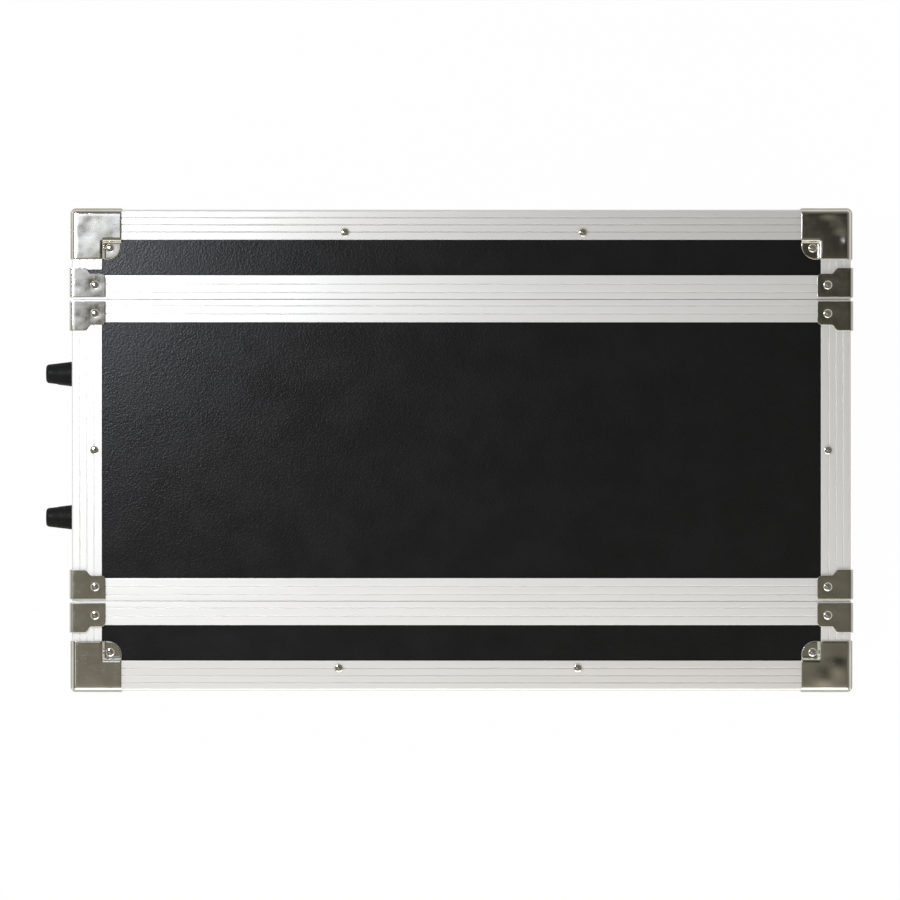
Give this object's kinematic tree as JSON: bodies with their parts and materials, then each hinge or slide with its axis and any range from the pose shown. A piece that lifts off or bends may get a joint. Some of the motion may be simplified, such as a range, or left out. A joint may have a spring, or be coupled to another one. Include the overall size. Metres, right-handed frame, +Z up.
{
  "type": "short rack case",
  "caption": "Short-depth rack case of black laminated plywood with ribbed aluminium edges, steel corners, lift-off end lids, twist latches, recessed handle and rubber feet.",
  "frame": {"origin": "under the middle of the whole, feet included, on the plane that the steel braces of its underside stand on; the middle of the rack lies 8.75 mm to the right of it", "axes": "+X to the right across the rack width, towards the side with the handle; +Y towards the rear lid; +Z up, out of the plain top face that the picture shows"},
  "size_m": [0.54, 0.3228, 0.2065],
  "materials": {
    "black_laminate": "black grained laminate over plywood, semi-gloss",
    "ribbed_aluminium": "ribbed extrusion, satin",
    "nickel_steel": "pressed steel, nickel plated",
    "zinc_steel": "zinc plated",
    "black_rubber": "moulded, matte"
  },
  "bodies": {
    "case": {"body_shell": "black_laminate", "body_rim_front": "ribbed_aluminium", "body_rim_rear": "ribbed_aluminium", "body_edge_top_left": "ribbed_aluminium", "body_edge_top_right": "ribbed_aluminium", "body_edge_bottom_left": "ribbed_aluminium", "body_edge_bottom_right": "ribbed_aluminium", "brace_body_rear_top_left": "nickel_steel", "brace_body_rear_top_right": "nickel_steel", "brace_body_rear_bottom_left": "nickel_steel", "brace_body_rear_bottom_right": "nickel_steel", "brace_body_front_top_left": "nickel_steel", "brace_body_front_top_right": "nickel_steel", "brace_body_front_bottom_left": "nickel_steel", "brace_body_front_bottom_right": "nickel_steel", "rack_rail_left": "zinc_steel", "rack_rail_right": "zinc_steel", "latch_dish_rear_left": "nickel_steel", "latch_dish_rear_right": "nickel_steel", "latch_dish_front_left": "nickel_steel", "latch_dish_front_right": "nickel_steel", "handle_dish": "nickel_steel", "foot_rear_top": "black_rubber", "foot_rear_bottom": "black_rubber", "foot_front_top": "black_rubber", "foot_front_bottom": "black_rubber"},
    "rear_lid": {"rear_lid_shell": "black_laminate", "rear_lid_frame": "ribbed_aluminium", "corner_rear_top_left": "nickel_steel", "corner_rear_top_right": "nickel_steel", "corner_rear_bottom_left": "nickel_steel", "corner_rear_bottom_right": "nickel_steel", "brace_lid_rear_top_left": "nickel_steel", "brace_lid_rear_top_right": "nickel_steel", "brace_lid_rear_bottom_left": "nickel_steel", "brace_lid_rear_bottom_right": "nickel_steel", "latch_keeper_rear_left": "nickel_steel", "latch_keeper_rear_right": "nickel_steel"},
    "front_lid": {"front_lid_shell": "black_laminate", "front_lid_frame": "ribbed_aluminium", "corner_front_top_left": "nickel_steel", "corner_front_top_right": "nickel_steel", "corner_front_bottom_left": "nickel_steel", "corner_front_bottom_right": "nickel_steel", "brace_lid_front_top_left": "nickel_steel", "brace_lid_front_top_right": "nickel_steel", "brace_lid_front_bottom_left": "nickel_steel", "brace_lid_front_bottom_right": "nickel_steel", "latch_keeper_front_left": "nickel_steel", "latch_keeper_front_right": "nickel_steel"},
    "lever_rear_left": {"latch_lever_rear_left": "nickel_steel"},
    "lever_rear_right": {"latch_lever_rear_right": "nickel_steel"},
    "lever_front_left": {"latch_lever_front_left": "nickel_steel"},
    "lever_front_right": {"latch_lever_front_right": "nickel_steel"},
    "hook_rear_left": {"latch_hook_rear_left": "zinc_steel"},
    "hook_rear_right": {"latch_hook_rear_right": "zinc_steel"},
    "hook_front_left": {"latch_hook_front_left": "zinc_steel"},
    "hook_front_right": {"latch_hook_front_right": "zinc_steel"},
    "handle": {"handle_bail": "nickel_steel", "handle_grip": "black_rubber"}
  },
  "joints": [
    {"name": "rear_lid_off", "type": "slide", "parent": "case", "child": "rear_lid", "axis": [0, 1, 0], "range_m": [0, 0.12]},
    {"name": "front_lid_off", "type": "slide", "parent": "case", "child": "front_lid", "axis": [0, -1, 0], "range_m": [0, 0.12]},
    {"name": "lever_rear_left_turn", "type": "hinge", "parent": "case", "child": "lever_rear_left", "pos_m": [-0.24945, 0.0803, 0.10325], "axis": [-1, 0, 0], "range_deg": [0, 90]},
    {"name": "lever_rear_right_turn", "type": "hinge", "parent": "case", "child": "lever_rear_right", "pos_m": [0.26695, 0.0803, 0.10325], "axis": [1, 0, 0], "range_deg": [0, 90]},
    {"name": "lever_front_left_turn", "type": "hinge", "parent": "case", "child": "lever_front_left", "pos_m": [-0.24945, -0.0803, 0.10325], "axis": [-1, 0, 0], "range_deg": [0, 90]},
    {"name": "lever_front_right_turn", "type": "hinge", "parent": "case", "child": "lever_front_right", "pos_m": [0.26695, -0.0803, 0.10325], "axis": [1, 0, 0], "range_deg": [0, 90]},
    {"name": "hook_rear_left_slide", "type": "slide", "parent": "case", "child": "hook_rear_left", "axis": [0, 1, 0], "range_m": [0, 0.006]},
    {"name": "hook_rear_right_slide", "type": "slide", "parent": "case", "child": "hook_rear_right", "axis": [0, 1, 0], "range_m": [0, 0.006]},
    {"name": "hook_front_left_slide", "type": "slide", "parent": "case", "child": "hook_front_left", "axis": [0, -1, 0], "range_m": [0, 0.006]},
    {"name": "hook_front_right_slide", "type": "slide", "parent": "case", "child": "hook_front_right", "axis": [0, -1, 0], "range_m": [0, 0.006]},
    {"name": "handle_swing", "type": "hinge", "parent": "case", "child": "handle", "pos_m": [0.26215, 0.0235, 0.10325], "axis": [0, 0, 1], "range_deg": [0, 90], "stiffness_Nm_per_rad": 0.05, "springref_deg": -28.65}
  ],
  "couplings": [
    {"joint": "hook_rear_left_slide", "follows": "lever_rear_left_turn", "m_per_rad": 0.00381},
    {"joint": "hook_rear_right_slide", "follows": "lever_rear_right_turn", "m_per_rad": 0.00381},
    {"joint": "hook_front_left_slide", "follows": "lever_front_left_turn", "m_per_rad": 0.00381},
    {"joint": "hook_front_right_slide", "follows": "lever_front_right_turn", "m_per_rad": 0.00381}
  ]
}
